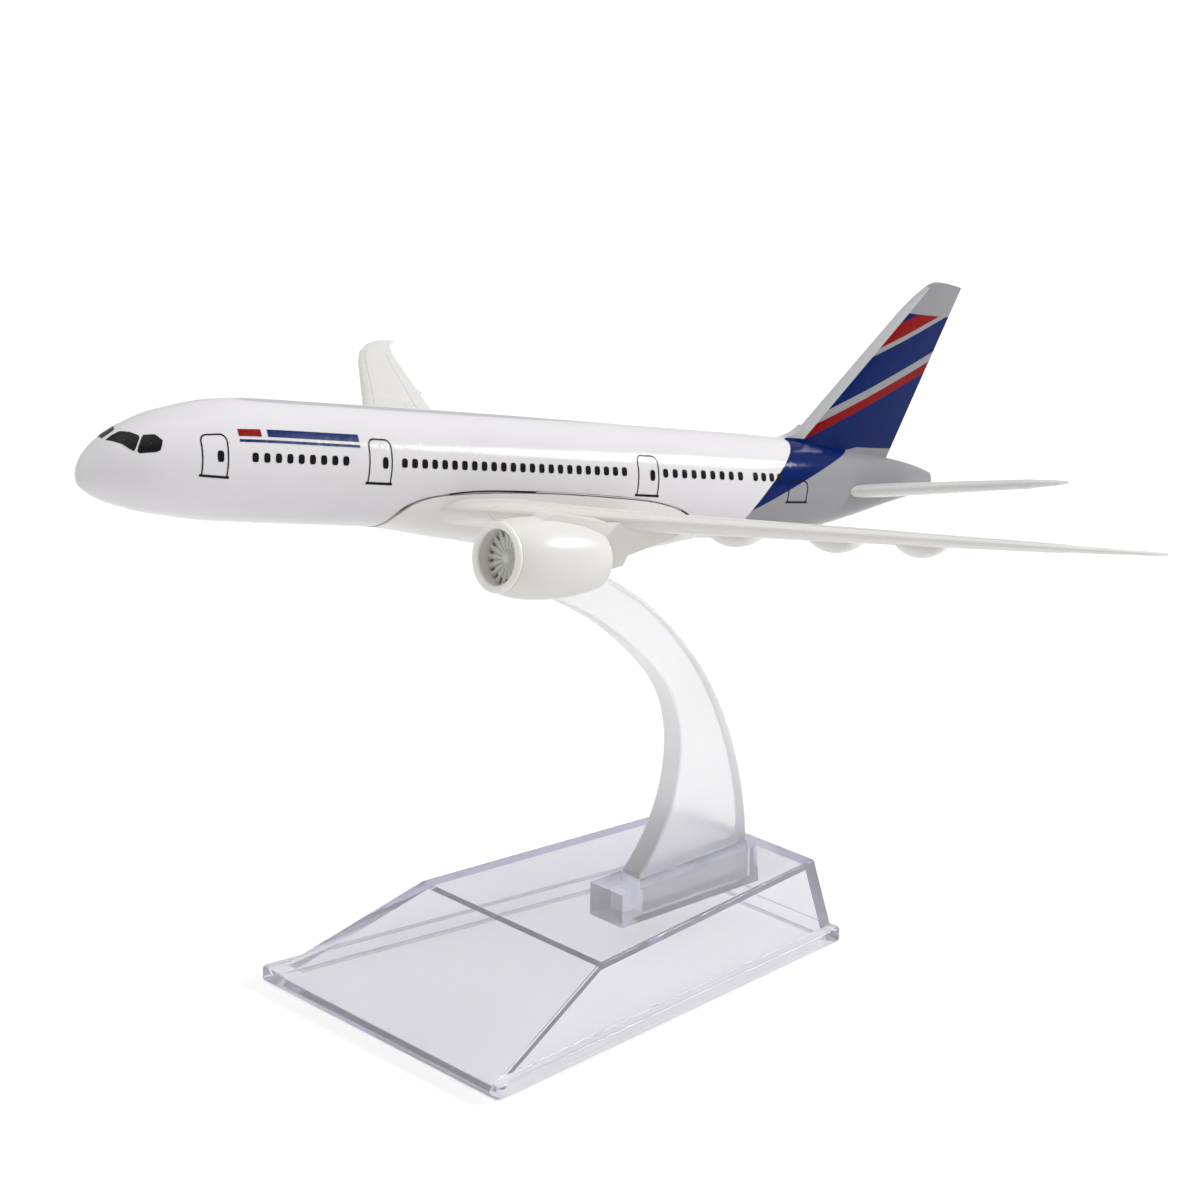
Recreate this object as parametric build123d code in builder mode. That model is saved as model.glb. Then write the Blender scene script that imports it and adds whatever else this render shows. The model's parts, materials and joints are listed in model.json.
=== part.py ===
from build123d import *
import math
import os

# Desktop airliner model, 160 mm long, on a clear stand.
# Frame: millimetres, +Z up, nose towards -X, left (port) wing towards -Y.
# The origin is on the table, below the middle of the whole model.

# ---- driving dimensions ----------------------------------------------------

BASE_X = 1.417  # middle of the base, behind the origin
BASE_LENGTH = 75.5
BASE_FRONT_HALF = 27.2  # half-width of the flange at the front
BASE_BACK_HALF = 19.1
FLANGE = 2.3
WALL = 1.7
LEDGE_FRONT = 3.1  # flange left showing ahead of the ramp
LEDGE_SIDE = 1.8
LEDGE_BACK = 0.6
CREASE_X = -12.4  # where the ramp meets the top, from the middle of the base
CREASE_Z = 11.1
TOP_BACK_X = 36.0
TOP_BACK_Z = 12.4
BASE_EDGE = 0.45  # radius along the outer edges of the base
SIDE_LEAN = 15.6  # degrees that the side walls lean inwards

ARM_THICK = 4.0
ARM_FRONT_X = 11.6  # front of the arm's foot, from the middle of the base
ARM_BACK_X = 34.0
ARM_EDGE = 0.5  # radius along the rims of the arm
SOCKET_FLOOR = 5.6
SOCKET_WALL = 1.6
SOCKET_PLAY = 0.06

PITCH = 12.2  # nose-up angle on the stand, degrees
MID_STATION = 80.0  # station that the aircraft hangs from
MID_X = -4.44  # where that station's axis point is, from the middle of the base
MID_Z = 76.86

LENGTH = 160.0
RADIUS = 8.1
SKIN = 1.8
JOINT_GAP = 0.12  # between the fuselage and the wing cradle

SHOULDER = -12.0  # underside of the cradle's seat on the arm, below the axis
TONGUE_STATION = 78.8
TONGUE_LENGTH = 6.0
TONGUE_THICK = 3.0
TONGUE_HEIGHT = 6.0
TONGUE_PLAY = 0.06

DIHEDRAL = 8.9  # degrees
TAIL_DIHEDRAL = 13.8

ENGINE_Y = 26.7
ENGINE_Z = -6.55
ENGINE_FRONT = 47.3
PYLON_THICK = 1.5
LIP_RADIUS = 4.55
INTAKE_RADIUS = 3.85
NACELLE_RADIUS = 5.45
FAN_BLADES = 18

SCREW_STATIONS = (62.0, 98.0)
SCREW_RADIUS = 1.0
SCREW_HEAD_RADIUS = 1.9

# ---- the aircraft's own frame ----------------------------------------------

PITCH_SIN = math.sin(math.radians(PITCH))
PITCH_COS = math.cos(math.radians(PITCH))
AFT = (PITCH_COS, 0, -PITCH_SIN)
UP = (PITCH_SIN, 0, PITCH_COS)


def at(station, y=0.0, z=0.0):
    """Point at a station behind the nose, y to the right, z above the axis."""
    along = station - MID_STATION
    return (
        BASE_X + MID_X + along * PITCH_COS + z * PITCH_SIN,
        y,
        MID_Z - along * PITCH_SIN + z * PITCH_COS,
    )


def cross_plane(station, y=0.0, z=0.0):
    """Plane across the fuselage: local x is right, local y is up."""
    return Plane(origin=at(station, y, z), x_dir=(0, 1, 0), z_dir=AFT)


def side_plane(y=0.0):
    """Plane along the fuselage: local x is the station, local y is up."""
    return Plane(origin=at(0, y, 0), x_dir=AFT, z_dir=(0, -1, 0))


def plan_plane(z=0.0, y=0.0):
    """Level plane of the aircraft: local x is the station, local y is right."""
    return Plane(origin=at(0, y, z), x_dir=AFT, z_dir=UP)


def fin_plane(station, z):
    """Level plane across the fin, for a section: local x is aft."""
    return Plane(origin=at(station, 0, z), x_dir=AFT, z_dir=UP)


def wing_plane(station, y, z):
    """Plane across a wing, for a section: local x is aft, local y is up."""
    return Plane(origin=at(station, y, z), x_dir=AFT, z_dir=(0, -1, 0))


def section_points(chord, thickness):
    """Points around an aerofoil, from the upper trailing edge to the lower."""
    edge = 0.16  # half the thickness of the trailing edge
    upper = []
    for step in range(7):
        x = ((6 - step) / 6) ** 1.7
        bulge = 2.97 * math.sqrt(x) - 1.26 * x - 3.52 * x**2 + 2.84 * x**3 - 1.03 * x**4
        upper.append((x * chord, max(bulge * thickness / 2, 0) + edge * x))
    lower = [(x, -z) for x, z in reversed(upper[:-1])]
    return upper + lower


def aerofoil(plane, chord, thickness):
    """Aerofoil section with its nose at the plane's origin."""
    points = section_points(chord, thickness)
    with BuildSketch(plane) as section:
        with BuildLine():
            Spline(*points)
            Line(points[-1], points[0])
        make_face()
    return section.sketch


# ---- stand -----------------------------------------------------------------


def side_wall_plane(side, inset):
    """Outer face of a leaning side wall, moved inwards by inset."""
    taper = math.atan2(BASE_FRONT_HALF - BASE_BACK_HALF, BASE_LENGTH)
    lean = math.radians(SIDE_LEAN)
    normal = Vector(
        math.sin(taper) * math.cos(lean),
        side * math.cos(taper) * math.cos(lean),
        math.sin(lean),
    )
    half = BASE_FRONT_HALF - LEDGE_SIDE / math.cos(taper)
    foot = Vector(BASE_X - BASE_LENGTH / 2, side * half, FLANGE)
    return Plane(origin=foot - normal * inset, z_dir=normal)


def ramp_block(inset):
    """The base above its flange, as a solid, drawn in by inset all round."""
    front = BASE_X - BASE_LENGTH / 2 + LEDGE_FRONT
    back = BASE_X + BASE_LENGTH / 2 - LEDGE_BACK
    ramp_run = (BASE_X + CREASE_X - front) / (CREASE_Z - FLANGE)
    back_run = (back - BASE_X - TOP_BACK_X) / (TOP_BACK_Z - FLANGE)
    with BuildPart() as block:
        with BuildSketch(Plane.XZ):
            with BuildLine():
                Polyline(
                    (front - ramp_run * (FLANGE + inset), -inset),
                    (BASE_X + CREASE_X, CREASE_Z),
                    (BASE_X + TOP_BACK_X, TOP_BACK_Z),
                    (back + back_run * (FLANGE + inset), -inset),
                    close=True,
                )
            make_face()
            if inset:
                offset(amount=-inset, kind=Kind.INTERSECTION)
        extrude(amount=BASE_FRONT_HALF, both=True)
        for side in (-1, 1):
            split(bisect_by=side_wall_plane(side, inset), keep=Keep.BOTTOM)
    return block.part


def plan_trapezoid():
    """Outline of the flange, as corner points."""
    front = BASE_X - BASE_LENGTH / 2
    back = BASE_X + BASE_LENGTH / 2
    return (
        (front, -BASE_FRONT_HALF),
        (front, BASE_FRONT_HALF),
        (back, BASE_BACK_HALF),
        (back, -BASE_BACK_HALF),
    )


with BuildPart() as outer_block:
    add(ramp_block(0))
    fillet(outer_block.edges().filter_by(lambda edge: edge.center().Z > FLANGE), radius=BASE_EDGE)
    split(bisect_by=Plane.XY.offset(FLANGE), keep=Keep.TOP)
inner_block = ramp_block(WALL)

SOCKET_LENGTH = ARM_BACK_X - ARM_FRONT_X
SOCKET_X = BASE_X + (ARM_FRONT_X + ARM_BACK_X) / 2
SOCKET_HALF_WIDTH = ARM_THICK / 2 + SOCKET_WALL
SOCKET_NOSE = 5.0  # solid block ahead of the slot

with BuildPart() as base_shell:
    with BuildSketch():
        with BuildLine():
            Polyline(*plan_trapezoid(), close=True)
        make_face()
    extrude(amount=FLANGE)
    fillet(base_shell.edges().filter_by(Axis.Z), radius=1.0)
    fillet(base_shell.edges().filter_by(Plane.XY), radius=BASE_EDGE)
    add(outer_block.part)
    add(inner_block, mode=Mode.SUBTRACT)
    # the well that the arm's foot drops into, hanging under the top
    with BuildSketch(Plane.XY.offset(SOCKET_FLOOR - 0.9)):
        with Locations((SOCKET_X - SOCKET_NOSE / 2 + 1, 0)):
            Rectangle(SOCKET_LENGTH + SOCKET_NOSE + 2, 2 * SOCKET_HALF_WIDTH)
    extrude(amount=CREASE_Z - SOCKET_FLOOR + 1.0)
    with BuildSketch(Plane.XY.offset(SOCKET_FLOOR)):
        with Locations((SOCKET_X, 0)):
            Rectangle(SOCKET_LENGTH + 2 * SOCKET_PLAY, ARM_THICK + 2 * SOCKET_PLAY)
    extrude(amount=TOP_BACK_Z, mode=Mode.SUBTRACT)

# The arm's crescent: a long arc behind, and three tangent arcs in front.
SEAT_FRONT = at(TONGUE_STATION - TONGUE_LENGTH / 2 - 0.6, 0, SHOULDER)
SEAT_BACK = at(TONGUE_STATION + TONGUE_LENGTH / 2 + 0.6, 0, SHOULDER)
TIP_HEIGHT = 4.2  # square end of the crescent, below the seat
FRONT_ARM_POINTS = (  # on the front edge: on the heel, at its top, at the shoulder
    (BASE_X + 17.3, 20.4),
    (BASE_X + 19.6, 30.0),
    (BASE_X + 14.8, 43.6),
)
BACK_ARM_POINT = (BASE_X + 24.2, 42.2)

with BuildPart() as display_arm:
    with BuildSketch(Plane.XZ):
        with BuildLine():
            front_x = BASE_X + ARM_FRONT_X
            back_x = BASE_X + ARM_BACK_X
            tip = (SEAT_FRONT[0] - TIP_HEIGHT * PITCH_SIN, SEAT_FRONT[2] - TIP_HEIGHT * PITCH_COS)
            Line((back_x, SOCKET_FLOOR), (front_x, SOCKET_FLOOR))
            Line((front_x, SOCKET_FLOOR), (front_x, TOP_BACK_Z))
            heel = ThreePointArc((front_x, TOP_BACK_Z), FRONT_ARM_POINTS[0], FRONT_ARM_POINTS[1])
            shoulder = TangentArc(heel @ 1, FRONT_ARM_POINTS[2], tangent=heel % 1)
            TangentArc(shoulder @ 1, tip, tangent=shoulder % 1)
            Line(tip, (SEAT_FRONT[0], SEAT_FRONT[2]))
            Line((SEAT_FRONT[0], SEAT_FRONT[2]), (SEAT_BACK[0], SEAT_BACK[2]))
            ThreePointArc((SEAT_BACK[0], SEAT_BACK[2]), BACK_ARM_POINT, (back_x, TOP_BACK_Z))
            Line((back_x, TOP_BACK_Z), (back_x, SOCKET_FLOOR))
        make_face()
    extrude(amount=ARM_THICK / 2, both=True)
    fillet(display_arm.edges().filter_by(GeomType.CIRCLE), radius=ARM_EDGE)
    with BuildSketch(plan_plane(SHOULDER - 0.5)):
        with Locations((TONGUE_STATION, 0)):
            Rectangle(TONGUE_LENGTH, TONGUE_THICK)
    extrude(amount=TONGUE_HEIGHT + 0.5)

# ---- fuselage --------------------------------------------------------------

# station, axis height, half-width, half-height of each cross-section
NOSE = (
    (0.12, -3.1, 0.75, 0.72),
    (0.5, -2.9, 1.6, 1.55),
    (1.3, -2.5, 2.75, 2.52),
    (2.6, -2.1, 3.85, 3.54),
    (5.0, -1.65, 5.2, 4.74),
    (8.0, -1.17, 6.35, 5.83),
    (12.0, -0.69, 7.25, 6.81),
    (17.0, -0.29, 7.85, 7.64),
    (23.0, -0.02, 8.08, 8.08),
    (30.0, 0.03, 8.1, 8.15),
)
TAIL = (
    (112.0, -0.18, 8.1, 7.95),
    (119.0, -0.1, 7.9, 7.8),
    (127.0, 0.2, 7.2, 7.25),
    (135.0, 0.7, 6.0, 6.25),
    (143.0, 1.3, 4.5, 4.9),
    (151.0, 1.96, 2.9, 3.42),
    (157.0, 2.2, 1.65, 2.25),
    (LENGTH, 2.28, 0.95, 1.4),
)
DROOP_STATION = 66.0  # behind this station the crown comes down a little
DROOP = 0.0045  # of the middle of the sections and of their half-height, per millimetre


def middle_section(station):
    """Cross-section of the cabin at a station."""
    droop = DROOP * max(0, station - DROOP_STATION)
    return (station, 0.03 - droop, 8.1, 8.15 - droop)


MIDDLE = tuple(middle_section(station) for station in range(38, 105, 8))


def hull_loft(sections, skin=0.0):
    """Smooth body through elliptical cross-sections, drawn in by skin."""
    with BuildPart() as body:
        for station, height, half_width, half_height in sections:
            with BuildSketch(cross_plane(station, 0, height)):
                Ellipse(half_width - skin, half_height - skin)
        loft()
    return body.part


# top of the wing cradle along the side of the fuselage: station, height
SEAM_FRONT = (46.9, -8.9)
SEAM_KNEE = (47.6, -4.7)
SEAM_TOP = (66.0, -1.35)
SEAM_AFT = (88.0, -1.5)
SEAM_BACK = (107.0, -8.9)
CRADLE_DEPTH = 16.0


def cradle_region(gap):
    """Everything below the seam, as a block, grown by gap."""
    with BuildPart() as region:
        with BuildSketch(side_plane()):
            with BuildLine():
                Spline(
                    (SEAM_FRONT[0] - gap, SEAM_FRONT[1]),
                    (SEAM_KNEE[0] - gap, SEAM_KNEE[1] + gap),
                    (56.0, -1.95 + gap),
                    (SEAM_TOP[0], SEAM_TOP[1] + gap),
                    (SEAM_AFT[0], SEAM_AFT[1] + gap),
                    (99.0, -3.0 + gap),
                    (SEAM_BACK[0] + gap, SEAM_BACK[1]),
                )
                Polyline(
                    (SEAM_BACK[0] + gap, SEAM_BACK[1]),
                    (SEAM_BACK[0] + gap, -CRADLE_DEPTH),
                    (SEAM_FRONT[0] - gap, -CRADLE_DEPTH),
                    (SEAM_FRONT[0] - gap, SEAM_FRONT[1]),
                )
            make_face()
        extrude(amount=2 * RADIUS, both=True)
    return region.part


outer_hull = hull_loft(NOSE + MIDDLE + TAIL)
cavity = hull_loft(NOSE[5:] + MIDDLE + TAIL[:3], SKIN)

# fin: leading and trailing edges are straight lines, cut off by a rounded tip
# height, leading edge station, chord and thickness at the root and the top
FIN_TOP_Z = 33.6
FIN = (
    (3.0, 123.1, 25.3, 2.9),
    (FIN_TOP_Z + 1, 152.2, 8.1, 1.0),
)
FIN_CORNER = 159.6  # station of the top of the trailing edge
DORSAL = ((124.2, 7.5), (127.0, 8.25), (129.2, 9.7))  # curve that blends the fin into the crown
DORSAL_THICK = 1.3

with BuildPart() as fin:
    loft([aerofoil(fin_plane(leading, z), chord, thick) for z, leading, chord, thick in FIN])
    with BuildSketch(side_plane()):
        with BuildLine():
            Polyline(
                (FIN_CORNER, FIN_TOP_Z - 0.5),
                (170.0, FIN_TOP_Z - 0.5),
                (170.0, 0.0),
                (110.0, 0.0),
                (110.0, 13.0),
            )
            Line((110.0, 13.0), (138.0, 25.0))
            Spline(
                (138.0, 25.0),
                (147.2, 28.9),
                (153.6, 33.3),
                (FIN_CORNER, FIN_TOP_Z - 0.5),
                tangents=((1, 0.25), (1, -0.1)),
            )
        make_face()
    extrude(amount=RADIUS, both=True, mode=Mode.INTERSECT)
    with BuildSketch(side_plane()):
        with BuildLine():
            ThreePointArc(*DORSAL)
            Polyline(DORSAL[2], (DORSAL[2][0] + 3, 6.0), (DORSAL[0][0], 6.0), DORSAL[0])
        make_face()
    extrude(amount=DORSAL_THICK / 2, both=True)

# tabs on the tailplane roots, and the slots for them
TAB_STATION = 145.6
TAB_LENGTH = 5.0
TAB_THICK = 0.8
TAB_Z = 0.98
TAB_Y = 2.6
TAB_REACH = 3.2


def tail_tab(side, play):
    """Tab on the root of a tailplane or, with play, the slot for it."""
    with BuildPart() as tab:
        with BuildSketch(cross_plane(TAB_STATION - TAB_LENGTH / 2 - play)):
            with Locations((side * TAB_Y, TAB_Z)):
                Rectangle(TAB_REACH + 2 * play, TAB_THICK + 2 * play)
        extrude(amount=TAB_LENGTH + 2 * play)
    return tab.part


with BuildPart() as fuselage:
    add(outer_hull)
    add(cavity, mode=Mode.SUBTRACT)
    # posts that the cradle's screws bite into
    for station in SCREW_STATIONS:
        with BuildSketch(plan_plane(-5.0)):
            with Locations((station, 0)):
                Circle(2.6)
        extrude(amount=12.0)
    add(fin.part)
    add(cradle_region(JOINT_GAP), mode=Mode.SUBTRACT)
    for station in SCREW_STATIONS:
        with BuildSketch(plan_plane(-5.0)):
            with Locations((station, 0)):
                Circle(2.6)
        extrude(amount=5.0)
        with BuildSketch(plan_plane(-5.0)):
            with Locations((station, 0)):
                Circle(SCREW_RADIUS + 0.03)
        extrude(amount=5.5, mode=Mode.SUBTRACT)
    for side in (-1, 1):
        add(tail_tab(side, 0.03), mode=Mode.SUBTRACT)

# ---- wing cradle -----------------------------------------------------------

# station, half-width, half-height of the belly fairing, about a line just
# below the axis
FAIRING_DROP = -2.0
FAIRING_SKIN = 1.9
FAIRING = (
    (44.0, 7.85, 6.1),
    (50.0, 7.95, 6.35),
    (57.0, 8.1, 7.1),
    (66.0, 8.3, 7.9),
    (76.0, 8.4, 8.7),
    (88.0, 8.35, 9.0),
    (97.0, 8.15, 8.2),
    (104.0, 7.9, 6.9),
    (112.0, 7.8, 6.1),
)
SEAT_LENGTH = 11.0
SEAT_WIDTH = 7.0
SEAT_TOP = -4.6
PAD_TOP = -5.05
SCREW_SEAT = -8.2

# wing sections: distance from the centre line, leading edge station,
# trailing edge station, thickness
WING = (
    (6.2, 52.2, 89.0, 4.6),
    (9.0, 54.9, 87.4, 3.5),
    (16.0, 59.8, 86.5, 3.0),
    (28.0, 68.5, 85.8, 2.5),
    (48.0, 83.1, 95.8, 1.95),
    (68.0, 97.6, 106.0, 1.25),
    (74.0, 102.5, 109.2, 0.95),
    (78.2, 107.0, 112.0, 0.7),
    (80.4, 110.4, 114.2, 0.5),
    (81.2, 113.2, 115.4, 0.35),
)
WING_ROOT_Y = 8.0
WING_ROOT_Z = -4.05  # mean line of the wing at the side of the fuselage

# flap-track fairings: distance out, front station, length, depth
FLAP_TRACKS = (
    (19.0, 78.0, 13.0, 2.2),
    (32.5, 79.2, 11.5, 2.0),
    (45.0, 85.5, 11.5, 1.9),
    (56.0, 90.4, 10.8, 1.8),
)
# along each one: share of the length, size, and height below the wing's mean line
TRACK_SECTIONS = ((0.0, 0.3, 0.36), (0.3, 0.9, 1.14), (0.65, 1.0, 1.2), (1.0, 0.35, 0.6))
TRACK_HALF_WIDTH = 0.95
# outline of a pylon: station, height
PYLON = (
    (61.5, -2.4),
    (64.9, -2.0),
    (68.6, -1.0),
    (78.0, -0.9),
    (80.5, -1.4),
    (79.0, -2.8),
    (70.4, -5.7),
    (69.8, -7.05),
    (67.2, -7.75),
    (66.9, -4.15),
    (61.5, -4.15),
)


def wing_height(y):
    """Height of the wing's mean line at a distance from the centre line."""
    return WING_ROOT_Z + (y - WING_ROOT_Y) * math.tan(math.radians(DIHEDRAL))


def fairing_loft(skin):
    """Belly fairing as a solid, drawn in by skin."""
    with BuildPart() as body:
        for station, half_width, half_height in FAIRING:
            with BuildSketch(cross_plane(station + skin * (78.0 - station) / 12, 0, FAIRING_DROP)):
                Ellipse(half_width - skin, half_height - skin)
        loft()
    return body.part


def wing(side):
    """One wing, from inside the fairing's wall out to the raked tip."""
    sections = []
    for y, leading, trailing, thick in WING:
        nose = wing_plane(leading, side * y, wing_height(y))
        sections.append(aerofoil(nose, trailing - leading, thick))
    with BuildPart() as body:
        loft(sections, ruled=True)
    return body.part


def flap_track(side, y, front, length, depth):
    """Canoe-shaped fairing under the trailing edge."""
    radius = 0.62 * depth
    with BuildPart() as track:
        for share, size, drop in TRACK_SECTIONS:
            height = wing_height(y) - drop * radius
            with BuildSketch(cross_plane(front + share * length, side * y, height)):
                Ellipse(TRACK_HALF_WIDTH * size, radius * size)
        loft()
    return track.part


def pylon(side):
    """Thin plate under the wing that the nacelle hangs on."""
    with BuildPart() as plate:
        with BuildSketch(side_plane(side * ENGINE_Y)):
            with BuildLine():
                Polyline(*PYLON, close=True)
            make_face()
        extrude(amount=PYLON_THICK / 2, both=True)
    return plate.part


with BuildPart() as wing_cradle:
    add(fairing_loft(0))
    add(cradle_region(0), mode=Mode.INTERSECT)
    add(fairing_loft(FAIRING_SKIN), mode=Mode.SUBTRACT)
    # seat for the arm's tongue
    with BuildSketch(plan_plane(SHOULDER)):
        with Locations((TONGUE_STATION, 0)):
            Rectangle(SEAT_LENGTH, SEAT_WIDTH)
    extrude(amount=SEAT_TOP - SHOULDER)
    with BuildSketch(plan_plane(SHOULDER)):
        with Locations((TONGUE_STATION, 0)):
            Rectangle(TONGUE_LENGTH + 2 * TONGUE_PLAY, TONGUE_THICK + 2 * TONGUE_PLAY)
    extrude(amount=TONGUE_HEIGHT + 0.4, mode=Mode.SUBTRACT)
    # screw pads on the floor, and counterbored holes through them
    for station in SCREW_STATIONS:
        with BuildSketch(plan_plane(SCREW_SEAT)):
            with Locations((station, 0)):
                Circle(2.8)
        extrude(amount=PAD_TOP - SCREW_SEAT)
        with BuildSketch(plan_plane(PAD_TOP)):
            with Locations((station, 0)):
                Circle(SCREW_RADIUS + 0.1)
        extrude(amount=-RADIUS, mode=Mode.SUBTRACT)
        with BuildSketch(plan_plane(SCREW_SEAT)):
            with Locations((station, 0)):
                Circle(SCREW_HEAD_RADIUS + 0.12)
        extrude(amount=-RADIUS, mode=Mode.SUBTRACT)
    for side in (-1, 1):
        add(wing(side))
        add(pylon(side))
        for track in FLAP_TRACKS:
            add(flap_track(side, *track))

SCREW_LENGTH = 6.6
SCREW_HEAD_HEIGHT = 1.0
RECESS = (2.2, 0.45, 0.6)  # length, width and depth of the cross in a head

with BuildPart() as cradle_screws:
    for station in SCREW_STATIONS:
        with BuildSketch(plan_plane(SCREW_SEAT)):
            with Locations((station, 0)):
                Circle(SCREW_HEAD_RADIUS)
        extrude(amount=-SCREW_HEAD_HEIGHT)
        with BuildSketch(plan_plane(SCREW_SEAT)):
            with Locations((station, 0)):
                Circle(SCREW_RADIUS)
        extrude(amount=SCREW_LENGTH)
        with BuildSketch(plan_plane(SCREW_SEAT - SCREW_HEAD_HEIGHT)):
            with Locations((station, 0)):
                Rectangle(RECESS[0], RECESS[1])
                Rectangle(RECESS[1], RECESS[0])
        extrude(amount=RECESS[2], mode=Mode.SUBTRACT)

# ---- tailplanes ------------------------------------------------------------

TAIL_INCIDENCE = 3.4  # degrees, nose down
# distance from the centre line, leading edge, trailing edge, thickness
TAILPLANE = (
    (3.0, 133.5, 151.7, 2.1),
    (23.6, 154.9, 161.1, 1.25),
    (25.5, 157.4, 161.8, 0.9),
    (26.3, 159.7, 162.1, 0.5),
)
TAIL_ROOT_LE = (136.6, 6.0, 0.95)  # where the leading edge leaves the body


def tailplane(side):
    """Tailplane half, cut to the fuselage, with its tab."""
    tilt = math.radians(TAIL_INCIDENCE)
    chord_dir = Vector(*AFT) * math.cos(tilt) + Vector(*UP) * math.sin(tilt)
    rise = math.tan(math.radians(TAIL_DIHEDRAL))
    sections = []
    for y, leading, trailing, thick in TAILPLANE:
        z = TAIL_ROOT_LE[2] + (y - TAIL_ROOT_LE[1]) * rise
        z += (leading - TAIL_ROOT_LE[0]) * math.tan(tilt)
        nose = Plane(origin=at(leading, side * y, z), x_dir=chord_dir, z_dir=(0, -1, 0))
        sections.append(aerofoil(nose, trailing - leading, thick))
    with BuildPart() as half:
        loft(sections, ruled=True)
        add(outer_hull, mode=Mode.SUBTRACT)
        add(tail_tab(side, 0))
    return half


# ---- engines ---------------------------------------------------------------

RING_BACK = ENGINE_FRONT + 0.9
FAN_FACE = ENGINE_FRONT + 2.3
FAN_BACK = ENGINE_FRONT + 4.0
WEB_AFT = ENGINE_FRONT + 13.5
NACELLE_AFT = ENGINE_FRONT + 17.4
SEAM_STEP = 0.08  # the cowl stands this proud of the inlet ring
COWL = (  # outside of the cowl: station, radius
    (RING_BACK, LIP_RADIUS + SEAM_STEP),
    (ENGINE_FRONT + 3.0, 5.2),
    (ENGINE_FRONT + 7.5, NACELLE_RADIUS),
    (ENGINE_FRONT + 13.0, 5.0),
    (NACELLE_AFT, 3.95),
)
RECESS_RADIUS = (3.55, 3.2)  # of the hollow behind the cowl, at its mouth and at its floor
LIP_CREST = 4.22
# ridge on the top of the cowl: station, height
RIDGE_CREST = ((53.4, -1.4), (54.8, -0.55), (56.6, -0.45))
RIDGE_BACK = ((56.6, -0.45), (65.0, -1.1), (65.0, -2.4), (62.0, -3.2), (53.4, -3.2), (53.4, -1.4))
RIDGE_THICK = 2.5
# slot in the cowl for the pylon's foot
PYLON_SLOT = ((61.45, -4.2), (70.0, -4.2), (70.0, -1.8), (61.45, -2.25))
PLUG = (  # outline of the exhaust plug: station, radius
    (WEB_AFT, 0),
    (WEB_AFT, 2.1),
    (NACELLE_AFT + 0.2, 1.75),
    (NACELLE_AFT + 0.2, 1.3),
    (NACELLE_AFT + 2.1, 0.25),
    (NACELLE_AFT + 2.1, 0),
)
FAN_PROFILE = (  # spinner and face of the fan: station, radius
    (FAN_FACE - 0.8, 0),
    (FAN_FACE - 0.45, 0.7),
    (FAN_FACE + 0.1, 1.15),
    (FAN_FACE, INTAKE_RADIUS - 0.05),
    (FAN_BACK, INTAKE_RADIUS - 0.05),
    (FAN_BACK, 0),
)
NOTCH_RADIUS = 3.25  # middle of the notches at the fan's rim
NOTCH = (0.85, 0.42)


def engine_axis(side):
    """Centre line of an engine."""
    return Axis(at(0, side * ENGINE_Y, ENGINE_Z), AFT)


def radial(points):
    """Points given as station and radius, on an engine's side plane."""
    return [(station, ENGINE_Z + radius) for station, radius in points]


def nacelle(side):
    """Cowl with a bored intake, an aft recess and the ridge of the pylon."""
    with BuildPart() as cowl:
        with BuildSketch(side_plane(side * ENGINE_Y)):
            with BuildLine():
                Spline(*radial(COWL))
                Polyline(
                    *radial(
                        (
                            COWL[-1],
                            (NACELLE_AFT, RECESS_RADIUS[0]),
                            (WEB_AFT, RECESS_RADIUS[1]),
                            (WEB_AFT, 0),
                            (FAN_BACK, 0),
                            (FAN_BACK, INTAKE_RADIUS),
                            (RING_BACK, INTAKE_RADIUS),
                            COWL[0],
                        )
                    )
                )
            make_face()
        revolve(axis=engine_axis(side))
        with BuildSketch(side_plane(side * ENGINE_Y)):
            with BuildLine():
                Spline(*RIDGE_CREST)
                Polyline(*RIDGE_BACK)
            make_face()
        extrude(amount=RIDGE_THICK / 2, both=True)
        with BuildSketch(side_plane(side * ENGINE_Y)):
            with BuildLine():
                Polyline(*PYLON_SLOT, close=True)
            make_face()
        extrude(amount=PYLON_THICK / 2 + 0.05, both=True, mode=Mode.SUBTRACT)
    return cowl


def inlet_ring(side):
    """Rounded lip in front of the cowl."""
    with BuildPart() as ring:
        with BuildSketch(side_plane(side * ENGINE_Y)):
            with BuildLine():
                back_outer, crest, back_inner = radial(
                    ((RING_BACK, LIP_RADIUS), (ENGINE_FRONT, LIP_CREST), (RING_BACK, INTAKE_RADIUS))
                )
                ThreePointArc(back_outer, crest, back_inner)
                Line(back_inner, back_outer)
            make_face()
        revolve(axis=engine_axis(side))
    return ring


def fan(side):
    """Disc set back in the intake, with notches between its blades."""
    with BuildPart() as disc:
        with BuildSketch(side_plane(side * ENGINE_Y)):
            with BuildLine():
                Polyline(*radial(FAN_PROFILE), close=True)
            make_face()
        revolve(axis=engine_axis(side))
        with BuildSketch(cross_plane(FAN_FACE - 0.2, side * ENGINE_Y, ENGINE_Z)):
            with PolarLocations(NOTCH_RADIUS, FAN_BLADES):
                Rectangle(*NOTCH)
        extrude(amount=0.9, mode=Mode.SUBTRACT)
    return disc


def exhaust_plug(side):
    """Core nozzle and cone in the aft end of the cowl."""
    with BuildPart() as plug:
        with BuildSketch(side_plane(side * ENGINE_Y)):
            with BuildLine():
                Polyline(*radial(PLUG), close=True)
            make_face()
        revolve(axis=engine_axis(side))
    return plug


# ---- files -----------------------------------------------------------------

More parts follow.
